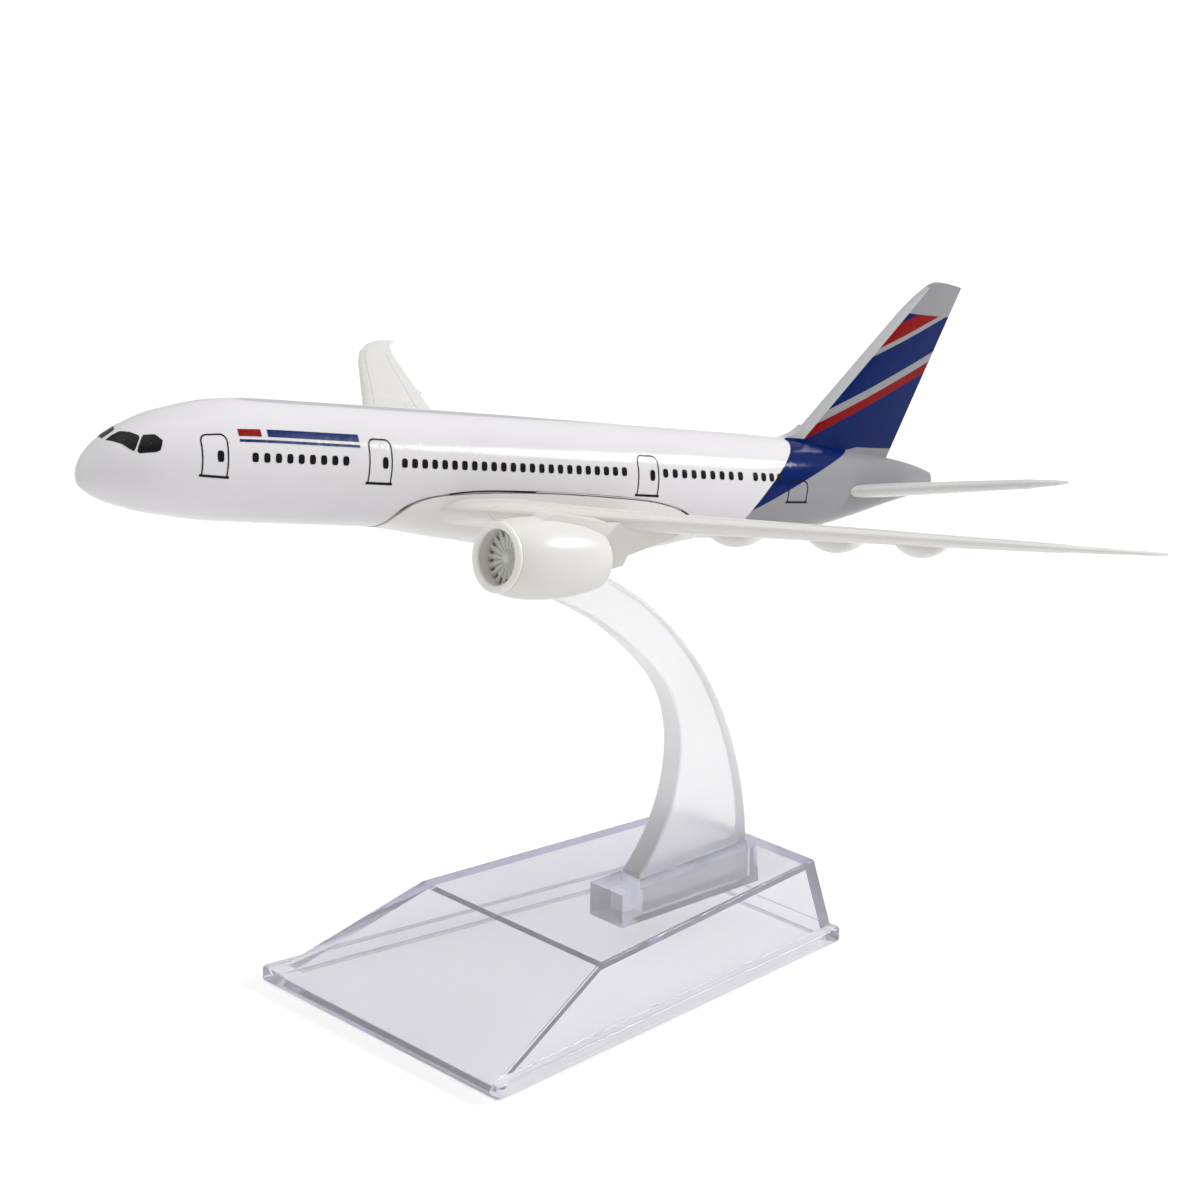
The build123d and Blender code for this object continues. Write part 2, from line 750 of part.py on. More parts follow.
pieces = {
    "base_shell": base_shell,
    "display_arm": display_arm,
    "fuselage": fuselage,
    "wing_cradle": wing_cradle,
    "cradle_screws": cradle_screws,
}
for hand, side in (("left", -1), ("right", 1)):
    pieces["tailplane_" + hand] = tailplane(side)
    pieces["nacelle_" + hand] = nacelle(side)
    pieces["inlet_ring_" + hand] = inlet_ring(side)
    pieces["fan_" + hand] = fan(side)
    pieces["exhaust_plug_" + hand] = exhaust_plug(side)

os.makedirs("parts", exist_ok=True)
for name, piece in pieces.items():
    piece.part.label = name
    export_step(piece.part, "parts/" + name + ".step")
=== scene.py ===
import json
import math

import bpy
from mathutils import Matrix, Vector
from mathutils.bvhtree import BVHTree


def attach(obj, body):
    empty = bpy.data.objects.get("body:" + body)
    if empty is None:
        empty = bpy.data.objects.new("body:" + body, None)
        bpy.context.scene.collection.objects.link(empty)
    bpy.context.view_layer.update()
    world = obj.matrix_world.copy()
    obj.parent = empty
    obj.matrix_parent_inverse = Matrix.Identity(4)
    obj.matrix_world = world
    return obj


# Desktop airliner model on a clear stand. The frame is in metres; the aircraft's own frame, used for its
# details, is in millimetres: station behind the nose, y to the right, z above the fuselage's axis.

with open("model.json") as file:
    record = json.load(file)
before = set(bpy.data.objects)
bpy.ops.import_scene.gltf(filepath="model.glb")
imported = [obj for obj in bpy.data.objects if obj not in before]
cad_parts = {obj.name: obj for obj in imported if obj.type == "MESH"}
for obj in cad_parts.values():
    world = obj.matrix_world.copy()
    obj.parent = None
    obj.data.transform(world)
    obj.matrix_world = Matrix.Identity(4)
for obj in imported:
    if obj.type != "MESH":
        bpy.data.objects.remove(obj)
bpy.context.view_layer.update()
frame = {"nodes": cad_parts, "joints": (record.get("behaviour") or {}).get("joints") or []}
scene = bpy.context.scene
nodes = frame["nodes"]

MM = 0.001
HANG_STATION = 80.0  # station of the axis point that the aircraft's place is given by
HANG_POINT = Vector((-3.023, 0.0, 76.86)) * MM

lift = next(joint for joint in frame["joints"] if joint["name"] == "aircraft_lift")
UP = Vector(lift["axis"]).normalized()
AFT = Vector((UP.z, 0.0, -UP.x))
RIGHT = Vector((0.0, 1.0, 0.0))
PITCH = math.atan2(UP.x, UP.z)
NOSE_POINT = HANG_POINT - AFT * HANG_STATION * MM


def place(station, y, z):
    """Point of the aircraft's frame, in the row frame."""
    return NOSE_POINT + (AFT * station + RIGHT * y + UP * z) * MM


# ---- camera ------------------------------------------------------------------

LOOK_AT = Vector((32.06, 31.61, 46.91)) * MM
CAMERA_AZIMUTH = math.radians(-41.89)
CAMERA_ELEVATION = math.radians(17.08)
CAMERA_ROLL = math.radians(0.39)
CAMERA_DISTANCE = 519.2 * MM
SENSOR_WIDTH = 36.0
LENS_LENGTH = 98.66
CAMERA_SHIFT = (0.0108, -0.0160)
CLIP_START = 0.01


def make_camera():
    """Camera at the photograph's angle."""
    data = bpy.data.cameras.new("studio_camera")
    data.sensor_width = SENSOR_WIDTH
    data.lens = LENS_LENGTH
    data.shift_x, data.shift_y = CAMERA_SHIFT
    data.clip_start = CLIP_START
    back = Vector((
        math.sin(CAMERA_AZIMUTH) * math.cos(CAMERA_ELEVATION),
        -math.cos(CAMERA_AZIMUTH) * math.cos(CAMERA_ELEVATION),
        math.sin(CAMERA_ELEVATION),
    ))
    camera = bpy.data.objects.new("studio_camera", data)
    scene.collection.objects.link(camera)
    turn = (-back).to_track_quat("-Z", "Y").to_matrix() @ Matrix.Rotation(CAMERA_ROLL, 3, "Z")
    camera.matrix_world = Matrix.Translation(LOOK_AT + back * CAMERA_DISTANCE) @ turn.to_4x4()
    scene.camera = camera


# ---- materials ---------------------------------------------------------------


def srgb(red, green, blue):
    """Linear colour from 0-255 display values."""
    linear = []
    for value in (red, green, blue):
        share = value / 255
        linear.append(share / 12.92 if share <= 0.04045 else ((share + 0.055) / 1.055) ** 2.4)
    return (*linear, 1.0)


class Nodes:
    """Short-hand for building one material's node tree."""

    def __init__(self, name):
        self.material = bpy.data.materials.new(name)
        self.material.use_nodes = True
        self.tree = self.material.node_tree
        self.shader = self.tree.nodes["Principled BSDF"]
        self.output = self.tree.nodes["Material Output"]

    def add(self, kind, inputs=(), **settings):
        """New node, with its settings and its inputs set or linked."""
        node = self.tree.nodes.new(kind)
        for key, value in settings.items():
            setattr(node, key, value)
        for key, value in dict(inputs).items():
            self.feed(node.inputs[key], value)
        return node

    def feed(self, socket, value):
        """Sets a socket to a value, or links it to an output."""
        if isinstance(value, bpy.types.NodeSocket):
            self.tree.links.new(value, socket)
        else:
            socket.default_value = value

    def math(self, operation, first, second=0.0, third=0.0):
        node = self.add("ShaderNodeMath", {0: first, 1: second, 2: third}, operation=operation)
        return node.outputs[0]

    def mix(self, share, first, second):
        """Colour mixed from first to second."""
        node = self.add("ShaderNodeMix", data_type="RGBA")
        for socket, value in ((node.inputs[0], share), (node.inputs[6], first), (node.inputs[7], second)):
            self.feed(socket, value)
        return node.outputs[2]

    def ramp(self, value, low, high, to_low=0.0, to_high=1.0):
        """Value taken from low..high to to_low..to_high, and held there."""
        node = self.add(
            "ShaderNodeMapRange", {"Value": value, 1: low, 2: high, 3: to_low, 4: to_high}
        )
        return node.outputs[0]

    def row_point(self):
        """Point of the surface at rest, in metres."""
        return self.add("ShaderNodeTexCoord").outputs["Object"]

    def aircraft_point(self):
        """Point of the surface at rest in the aircraft's own frame, in millimetres."""
        mapping = self.add("ShaderNodeMapping", {
            "Vector": self.row_point(),
            "Location": NOSE_POINT,
            "Rotation": (0.0, PITCH, 0.0),
            "Scale": (MM, MM, MM),
        }, vector_type="TEXTURE")
        return mapping.outputs[0]

    def noise(self, size, detail=2.0, vector=None):
        """Noise whose lumps are about size millimetres across."""
        return self.add("ShaderNodeTexNoise", {
            "Vector": vector or self.row_point(),
            "Scale": 1 / (size * MM),
            "Detail": detail,
        }).outputs["Fac"]

    def bump(self, height, depth):
        """Normal from a height of 0..1, depth millimetres deep."""
        node = self.add("ShaderNodeBump", {
            "Height": height,
            "Distance": depth * MM,
            "Strength": 1.0,
        })
        self.feed(self.shader.inputs["Normal"], node.outputs[0])

    def set(self, **values):
        """Sets the shader's inputs, named with underscores for spaces."""
        for key, value in values.items():
            self.feed(self.shader.inputs[key.replace("_", " ")], value)


COLOUR_LUMP = 14  # size of the patches that the paint's colour and sheen drift over
SHEEN_LUMP = 9
SHEEN_DRIFT = (0.93, 1.08)  # times the paint's roughness
COAT_ROUGHNESS = 0.06


def paint(name, colour, shade, roughness, grain, depth, gloss=0.25):
    """Sprayed paint: colour drifts a little to shade, with fine orange peel."""
    nt = Nodes(name)
    glossy = roughness * SHEEN_DRIFT[0]
    dull = roughness * SHEEN_DRIFT[1]
    nt.set(
        Base_Color=nt.mix(nt.ramp(nt.noise(COLOUR_LUMP, 3), 0.3, 0.75), colour, shade),
        Roughness=nt.ramp(nt.noise(SHEEN_LUMP, 2), 0.2, 0.8, glossy, dull),
        Specular_IOR_Level=gloss,
        Coat_Weight=gloss / 3,
        Coat_Roughness=COAT_ROUGHNESS,
    )
    nt.bump(nt.noise(grain, 2), depth)
    return nt


WHITE = srgb(210, 208, 210)
WHITE_SHADE = srgb(206, 204, 206)
BLUE = srgb(0, 26, 84)
RED = srgb(122, 6, 8)
GREY = srgb(138, 138, 141)
OFF_WHITE = srgb(212, 210, 207)
OFF_WHITE_SHADE = srgb(208, 206, 202)
INK = srgb(14, 14, 16)
TAIL_GREY = srgb(196, 196, 194)
TAIL_SHADE = srgb(189, 188, 186)
LIP_CREAM = srgb(228, 226, 220)
LIP_SHADE = srgb(214, 211, 204)
PLUG_GREY = srgb(190, 189, 184)
PLUG_SHADE = srgb(170, 169, 163)
STEEL = srgb(150, 150, 150)
STEEL_LIGHT = srgb(185, 184, 180)
FAN_GREY = srgb(204, 204, 200)
FAN_SHADE = srgb(190, 190, 185)
# painted shade for the recesses between the fan's blades
FAN_GAP_PAINTED_SHADE = srgb(166, 166, 162)
FAN_BLADES = 18
FAN_SWEEP = 0.9  # turn of the blades' pattern, per millimetre out
SPINNER_RADIUS = (1.0, 1.5)  # the blades fade in between these radii
ENGINE_Y, ENGINE_Z = 26.7, -6.55  # axis of the engines, in the aircraft's own frame
LAVENDER = (0.50, 0.46, 0.92, 1.0)
PALE_GREY = (0.6, 0.6, 0.66, 1.0)

# The blue of the tail lies behind one curve of the side view and above another. Both are parabolas
# through this point, given as (slope, bend).
TAIL_STATION = 113.5
TAIL_Z = -2.4
BLUE_FRONT = (0.55, 0.064)  # station by height
BLUE_BOTTOM = (0.5, -0.0058)  # height by station
BLUE_BOTTOM_TOP = 7.0  # the second curve rises no higher than this
CROWN_Z = 7.7  # top of the fuselage at the fin
STRIPES_Z = 7.75  # the fin's stripes and leading band start above this height
FIN_ROOT_Z = 8.0
FIN_TIP_Z = 28.3
FIN_EDGE = (3.0, 123.1, 0.921)  # height and station on the fin's leading edge, and its run aft per height
FIN_BAND = 1.7  # width of the grey band along that edge
BAND_GREY = srgb(176, 177, 180)
STRIPE_SLOPE = 0.46  # of the fin's stripes, rising aft
STRIPE_STATION = 140.0
STRIPES = (  # height above the fuselage's axis at the stripe station, width, colour
    (13.4, 1.5, RED),
    (14.8, 1.3, GREY),
    (20.9, 1.0, GREY),
    (22.4, 2.4, RED),
)


def livery_paint():
    """Gloss white with a blue tail over grey, printed as flat colours."""
    nt = paint("livery_paint", WHITE, WHITE_SHADE, 0.13, 1.6, 0.0012, 0.06)
    axes = nt.add("ShaderNodeSeparateXYZ", {0: nt.aircraft_point()})
    station, z = axes.outputs[0], axes.outputs[2]
    white = nt.shader.inputs["Base Color"].links[0].from_socket

    def above(value, limit, blur=0.06):
        """1 where value passes limit, with a soft edge."""
        return nt.ramp(nt.math("SUBTRACT", value, limit), -blur, blur)

    rise = nt.math("SUBTRACT", nt.math("MINIMUM", z, CROWN_Z), TAIL_Z)
    curve = nt.math("MULTIPLY_ADD", nt.math("MULTIPLY", rise, rise), BLUE_FRONT[1], TAIL_STATION)
    curve = nt.math("MULTIPLY_ADD", rise, BLUE_FRONT[0], curve)
    tail = nt.math("MAXIMUM", above(station, curve), above(z, FIN_ROOT_Z))
    run = nt.math("SUBTRACT", station, TAIL_STATION)
    line = nt.math("MULTIPLY_ADD", nt.math("MULTIPLY", run, run), BLUE_BOTTOM[1], TAIL_Z)
    line = nt.math("MULTIPLY_ADD", run, BLUE_BOTTOM[0], line)
    line = nt.math("MINIMUM", line, BLUE_BOTTOM_TOP)
    colour = nt.mix(above(z, line), GREY, BLUE)
    across = nt.math("MULTIPLY_ADD", nt.math("SUBTRACT", station, STRIPE_STATION), -STRIPE_SLOPE, z)
    on_fin = above(z, STRIPES_Z)
    for height, width, tint in STRIPES:
        off_middle = nt.math("ABSOLUTE", nt.math("SUBTRACT", across, height))
        inside = nt.math("SUBTRACT", width / 2, off_middle)
        stripe = nt.math("MULTIPLY", nt.ramp(inside, -0.05, 0.05), on_fin)
        colour = nt.mix(stripe, colour, tint)
    # grey tip and a grey band along the fin's leading edge
    colour = nt.mix(above(z, FIN_TIP_Z), colour, GREY)
    edge_z, edge_station, edge_run = FIN_EDGE
    edge = nt.math("MULTIPLY_ADD", nt.math("SUBTRACT", z, edge_z), edge_run, edge_station)
    ahead = nt.math("SUBTRACT", nt.math("ADD", edge, FIN_BAND), station)
    band = nt.math("MULTIPLY", nt.ramp(ahead, -0.1, 0.1), on_fin)
    colour = nt.mix(band, colour, BAND_GREY)
    nt.set(Base_Color=nt.mix(tail, white, colour))
    return nt.material


def fan_paint():
    """Grey paint of a fan, with painted shade between its moulded blades, which the bump also dips."""
    nt = paint("fan_paint", FAN_GREY, FAN_SHADE, 0.35, 0.5, 0.004)
    axes = nt.add("ShaderNodeSeparateXYZ", {0: nt.aircraft_point()})
    across = nt.math("SUBTRACT", nt.math("ABSOLUTE", axes.outputs[1]), ENGINE_Y)
    up = nt.math("SUBTRACT", axes.outputs[2], ENGINE_Z)
    squares = nt.math("ADD", nt.math("MULTIPLY", across, across), nt.math("MULTIPLY", up, up))
    radius = nt.math("SQRT", squares)
    sweep = nt.math("MULTIPLY", radius, FAN_SWEEP)
    turn = nt.math("MULTIPLY_ADD", nt.math("ARCTAN2", up, across), FAN_BLADES, sweep)
    blades = nt.ramp(nt.math("SINE", turn), 0.1, 0.8)
    between = nt.math("MULTIPLY", blades, nt.ramp(radius, *SPINNER_RADIUS))
    painted = nt.shader.inputs["Base Color"].links[0].from_socket
    # painted shade in the gaps between the blades; the same mask also dips the bump
    nt.set(Base_Color=nt.mix(between, painted, FAN_GAP_PAINTED_SHADE))
    nt.bump(nt.math("SUBTRACT", 1.0, between), 0.03)
    return nt.material


PLASTIC_IOR = 1.33  # below polystyrene's, for the pale edges that studio light gives
SCRATCH_STRETCH = (1.0, 5.0, 1.0)
SCRATCH_ROUGHNESS = 0.06


def clear_plastic(name, tint, roughness, clearness, through, density):
    """Clear moulded polystyrene, tinted through its thickness, with hairline scratches."""
    nt = Nodes(name)
    mapping = nt.add("ShaderNodeMapping", {"Vector": nt.row_point(), "Scale": SCRATCH_STRETCH})
    scratches = nt.ramp(nt.noise(1.4, 5, mapping.outputs[0]), 0.62, 0.7)
    nt.set(
        Base_Color=tint,
        Transmission_Weight=clearness,
        IOR=PLASTIC_IOR,
        Roughness=nt.math("MULTIPLY_ADD", scratches, SCRATCH_ROUGHNESS, roughness),
    )
    nt.bump(nt.noise(7, 2), 0.004)
    absorb = nt.add("ShaderNodeVolumeAbsorption", {"Color": through, "Density": density})
    nt.feed(nt.output.inputs["Volume"], absorb.outputs[0])
    return nt.material


THIN_INK = 1.35  # how much lighter ink is where it is thin
THIN_INK_LEAST = 0.004


def ink(name, colour):
    """Printed ink, slightly uneven."""
    nt = Nodes(name)
    thin = tuple(min(1.0, channel * THIN_INK + THIN_INK_LEAST) for channel in colour[:3]) + (1.0,)
    nt.set(
        Base_Color=nt.mix(nt.ramp(nt.noise(0.5, 3), 0.4, 0.75), colour, thin),
        Roughness=nt.ramp(nt.noise(0.8, 2), 0.3, 0.7, 0.2, 0.32),
        Specular_IOR_Level=0.09,
    )
    return nt.material


def brushed_steel():
    """Zinc-plated screw heads."""
    nt = Nodes("screw_steel")
    nt.set(
        Base_Color=nt.mix(nt.noise(0.6, 4), STEEL, STEEL_LIGHT),
        Metallic=1.0,
        Roughness=nt.ramp(nt.noise(0.3, 3), 0.3, 0.7, 0.25, 0.45),
    )
    nt.bump(nt.noise(0.2, 2), 0.01)
    return nt.material


PAPER = (0.50, 0.50, 0.50, 1.0)
PAPER_LIGHT = (0.51, 0.51, 0.51, 1.0)
GLOW_REACH = (0.15, 1.3)  # metres from the middle between which the paper's own light grows
GLOW = (0.51, 0.64)  # its strength at those two distances


def floor_paper():
    """Pale studio paper, lit a little from behind, more so away from the middle."""
    nt = Nodes("floor_paper")
    away = nt.add("ShaderNodeVectorMath", {0: nt.row_point()}, operation="LENGTH").outputs["Value"]
    nt.set(
        Base_Color=nt.mix(nt.noise(60, 3), PAPER, PAPER_LIGHT),
        Roughness=0.9,
        Specular_IOR_Level=0.1,
        Emission_Color=(1.0, 1.0, 1.0, 1.0),
        Emission_Strength=nt.ramp(away, *GLOW_REACH, *GLOW),
    )
    return nt.material


def finish_with(obj, material):
    """Gives a piece its only material."""
    obj.data.materials.clear()
    obj.data.materials.append(material)


# ---- studio ------------------------------------------------------------------

FLOOR_HALF = 20.0  # metres, wide enough that a low camera does not see past it
SKY_STRENGTH = (0.42, 0.85)  # at the horizon and overhead
SOFTBOXES = (  # name, direction from the aircraft, distance, width, height, power in watts
    ("side_softbox", (0.82, -0.38, 0.43), 0.9, 0.34, 0.12, 4.6),
    ("front_softbox", (-0.75, -0.85, 0.62), 1.0, 0.3, 0.12, 0.6),
    ("top_softbox", (0.1, 0.1, 1.0), 1.1, 0.9, 0.9, 4.0),
)


def make_floor():
    """Wide pale floor."""
    half = FLOOR_HALF
    corners = [(-half, -half, 0), (half, -half, 0), (half, half, 0), (-half, half, 0)]
    data = bpy.data.meshes.new("studio_floor")
    data.from_pydata(corners, [], [(0, 1, 2, 3)])
    data.materials.append(floor_paper())
    floor = bpy.data.objects.new("studio_floor", data)
    scene.collection.objects.link(floor)


def make_sky():
    """Soft light from all round, brightest overhead."""
    world = bpy.data.worlds.new("studio_sky")
    world.use_nodes = True
    scene.world = world
    tree = world.node_tree
    coordinates = tree.nodes.new("ShaderNodeTexCoord")
    axes = tree.nodes.new("ShaderNodeSeparateXYZ")
    lift_up = tree.nodes.new("ShaderNodeMapRange")
    lift_up.inputs[1].default_value = 0.0
    lift_up.inputs[2].default_value = 1.0
    lift_up.inputs[3].default_value = SKY_STRENGTH[0]
    lift_up.inputs[4].default_value = SKY_STRENGTH[1]
    tree.links.new(coordinates.outputs["Generated"], axes.inputs[0])
    tree.links.new(axes.outputs[2], lift_up.inputs[0])
    tree.links.new(lift_up.outputs[0], tree.nodes["Background"].inputs["Strength"])
    tree.nodes["Background"].inputs["Color"].default_value = (1.0, 1.0, 1.0, 1.0)


def softbox(name, direction, distance, width, height, power):
    """Rectangular lamp that faces the aircraft."""
    data = bpy.data.lights.new(name, "AREA")
    data.shape = "RECTANGLE"
    data.size = width
    data.size_y = height
    data.energy = power
    lamp = bpy.data.objects.new(name, data)
    scene.collection.objects.link(lamp)
    lamp.location = HANG_POINT + Vector(direction).normalized() * distance
    lamp.rotation_euler = (HANG_POINT - lamp.location).to_track_quat("-Z", "Y").to_euler()


# ---- printed markings --------------------------------------------------------

INK_LIFT = 0.045  # how far the prints stand off the paint
BODY_RADIUS = 8.1
evaluated = bpy.context.evaluated_depsgraph_get()
fuselage_tree = BVHTree.FromObject(nodes["fuselage"], evaluated)
SKIN_REACH = 1.07 * BODY_RADIUS  # how far out the search for the skin starts


def skin(station, z, side):
    """Point on the body's skin at a station and height, on one side, just off the paint."""
    turn = math.asin(max(-1.0, min(1.0, z / BODY_RADIUS)))
    outside = place(station, side * SKIN_REACH * math.cos(turn), SKIN_REACH * math.sin(turn))
    inwards = (place(station, 0, 0) - outside).normalized()
    hit, normal, _, _ = fuselage_tree.ray_cast(outside, inwards)
    return hit + normal * INK_LIFT * MM


def mesh_piece(name, points, faces, material, body="aircraft", smooth=True):
    """New piece from points in the row frame."""
    data = bpy.data.meshes.new(name)
    data.from_pydata([tuple(point) for point in points], [], faces)
    data.update()
    for polygon in data.polygons:
        polygon.use_smooth = smooth
    piece = bpy.data.objects.new(name, data)
    scene.collection.objects.link(piece)
    finish_with(piece, material)
    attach(piece, body)
    return piece


RIBBON_STEP = 0.3
DISC_RINGS = (0.02, 0.34, 0.67, 1.0)  # sizes of the rings that fill a disc
DISC_POWER = 3.5  # 2 makes an ellipse, and more a rounder-cornered box
DISC_AROUND = 24
TAPER_SHARE = 0.25  # how much of a ribbon its taper takes up


def finer(path, step):
    """Points at most a step apart along a path."""
    path = [Vector(point) for point in path]
    points = [path[0]]
    for first, second in zip(path, path[1:]):
        count = max(1, math.ceil((second - first).length / step))
        points += [first.lerp(second, (k + 1) / count) for k in range(count)]
    return points


class Print:
    """Collects the printed shapes of one colour."""

    def __init__(self):
        self.points = []
        self.faces = []

    def grid(self, rows):
        """Adds a grid of points as quads."""
        start = len(self.points)
        width = len(rows[0])
        for row in rows:
            self.points.extend(row)
        for i in range(len(rows) - 1):
            for j in range(width - 1):
                corner = start + i * width + j
                self.faces.append((corner, corner + 1, corner + width + 1, corner + width))

    def disc(self, centre, half_width, half_height, side):
        """Adds a rounded oval, such as a window."""
        rows = []
        for size in DISC_RINGS:
            row = []
            for k in range(DISC_AROUND + 1):
                angle = side * 2 * math.pi * (k % DISC_AROUND) / DISC_AROUND
                c, s = math.cos(angle), math.sin(angle)
                reach = size / (abs(c) ** DISC_POWER + abs(s) ** DISC_POWER) ** (1 / DISC_POWER)
                station = centre[0] + half_width * reach * c
                z = centre[1] + half_height * reach * s
                row.append(skin(station, z, side))
            rows.append(row)
        self.grid(rows)

    def ribbon(self, path, half_width, side, taper=0.0):
        """Adds a line along a path of stations and heights, thinned at its start by a share of its width."""
        path = finer(path, RIBBON_STEP)
        lanes = max(2, math.ceil(2 * half_width / RIBBON_STEP) + 1)
        rows = [[] for _ in range(lanes)]
        last = len(path) - 1
        for k, point in enumerate(path):
            along = (path[min(k + 1, last)] - path[max(k - 1, 0)]).normalized()
            narrowed = 1 - taper * max(0, 1 - k / last / TAPER_SHARE)
            across = Vector((-along.y, along.x)) * side * half_width * narrowed
            for lane, row in enumerate(rows):
                spot = point + across * (2 * lane / (lanes - 1) - 1)
                row.append(skin(spot.x, spot.y, side))
        self.grid(rows)

    def piece(self, name, material):
        return mesh_piece(name, self.points, self.faces, material)


DOORS = (  # front and back stations, sill height, height, window place or None
    (13.3, 17.0, -1.05, 5.6, (15.9, 1.7)),
    (39.9, 43.7, -0.85, 5.6, (42.6, 1.9)),
    (89.2, 93.2, -0.8, 5.5, (92.0, 2.1)),
    (120.6, 125.0, -0.9, 3.4, None),
)
WINDOW_HALF = (0.5, 0.6)  # half the width and height of a window
DOOR_WINDOW_HALF = (0.475, 0.75)
WINDOW_Z = 1.76
WINDOW_RISE = 0.01  # of the row of windows, per millimetre aft
WINDOW_ROWS = ((9, 21.1, 35.9), (24, 45.9, 86.4), (9, 94.6, 110.0), (4, 113.2, 118.5))
LINE_HALF = 0.1
SILL_HALF = 0.17
DOOR_RADIUS = 0.9
DOOR_STEPS = 6  # steps up each side of a door, and round each top corner
DOOR_TOP_STEPS = 4
SILL_OVERHANG = 0.35
SEAM_HALF = 0.34
SEAM_RAISE = 0.14  # lifts the line clear of the cradle's edge
SEAM_STEPS = 6  # points of the curve between two knots
SEAM_TAPER = 0.5
TRIM_FRONT = 18.9  # stations of the red and blue trim stripe, red ahead of the split
TRIM_SPLIT_FRONT = 22.4
TRIM_SPLIT_BACK = 23.4
TRIM_BACK = 38.4
TRIM_Z = 4.75
TRIM_HALF = 0.42
PINSTRIPE_Z = 3.8
PINSTRIPE_HALF = 0.16


def rounded_door(front, back, sill, height):
    """Outline of a door, with rounded top corners."""
    top = sill + height
    radius = DOOR_RADIUS
    rise = (height - radius) / DOOR_STEPS
    run = (back - front - 2 * radius) / DOOR_TOP_STEPS
    turns = [math.pi / 2 * k / DOOR_STEPS for k in range(1, DOOR_STEPS)]
    path = [(front, sill + step * rise) for step in range(DOOR_STEPS + 1)]
    for turn in turns:
        path.append((front + radius - radius * math.cos(turn), top - radius + radius * math.sin(turn)))
    path += [(front + radius + step * run, top) for step in range(DOOR_TOP_STEPS + 1)]
    for turn in turns:
        path.append((back - radius + radius * math.sin(turn), top - radius + radius * math.cos(turn)))
    path += [(back, top - radius - step * rise) for step in range(DOOR_STEPS + 1)]
    return path


FRONT_PANE = (  # station, y, z of the left front cockpit pane's outline
    (2.75, 0.45, 1.8), (3.1, 1.5, 1.85), (3.8, 2.7, 1.75), (4.4, 3.8, 1.3), (4.75, 4.2, 1.15),
    (5.05, 4.1, 1.5), (5.8, 3.4, 2.8), (5.75, 3.0, 3.1), (5.1, 1.8, 3.3), (4.4, 0.6, 3.1), (3.7, 0.4, 2.5),
)
SIDE_PANE = (
    (5.1, 4.4, 1.2), (5.9, 3.6, 2.7), (6.3, 3.3, 3.2), (7.6, 4.0, 3.5), (7.85, 4.4, 3.3),
    (8.3, 5.0, 2.9), (8.1, 5.3, 2.4), (7.8, 5.6, 1.7), (7.3, 5.5, 1.4), (5.3, 4.7, 1.0),
)
PANE_RINGS = (0.03, 0.35, 0.7, 1.0)  # sizes of the rings that fill a pane
PANE_SHARES = (0.0, 0.34, 0.67)  # points along each edge of its outline
CABIN_POINT = (16.0, 0.0, -1.0)  # station, y, z that the panes are laid on the nose from
CABIN_CLEAR = 0.05  # metres ahead of that point where the search back for the skin starts


def pane(outline, side):
    """Rows of a cockpit pane from its middle to its outline, laid on the nose."""
    corners = [Vector((s, side * y, z)) for s, y, z in outline]
    middle = sum(corners, Vector()) / len(corners)
    rows = []
    for size in PANE_RINGS:
        row = []
        for k in range(len(corners)):
            first, second = corners[k], corners[(k + 1) % len(corners)]
            for share in PANE_SHARES:
                point = middle.lerp(first.lerp(second, share), size)
                row.append(on_nose(point))
        row.append(row[0])
        rows.append(row if side < 0 else row[::-1])
    return rows


def on_nose(point):
    """Outer point of the skin on the line from inside the cabin through a point, just off the paint."""
    inside = place(*CABIN_POINT)
    direction = (place(*point) - inside).normalized()
    hit, normal, _, _ = fuselage_tree.ray_cast(inside + direction * CABIN_CLEAR, -direction)
    return hit + normal * INK_LIFT * MM


SEAM = (  # top edge of the wing cradle along the fuselage: station, height
    (46.75, -8.1), (46.95, -6.6), (47.9, -4.35), (51.0, -2.95), (56.0, -2.02), (61.0, -1.6), (66.0, -1.45),
    (72.0, -1.4), (80.0, -1.45), (88.0, -1.68), (94.0, -2.2), (99.0, -3.15), (102.5, -4.7), (105.0, -6.6),
)


def smooth_path(knots, steps):
    """Catmull-Rom curve through the knots."""
    points = [Vector(knot) for knot in knots]
    path = []
    for k in range(len(points) - 1):
        before = points[max(k - 1, 0)]
        first, second = points[k], points[k + 1]
        after = points[min(k + 2, len(points) - 1)]
        for step in range(steps):
            t = step / steps
            path.append(0.5 * (
                2 * first + (second - before) * t
                + (2 * before - 5 * first + 4 * second - after) * t * t
                + (3 * first - before - 3 * second + after) * t ** 3
            ))
    path.append(points[-1])
    return path


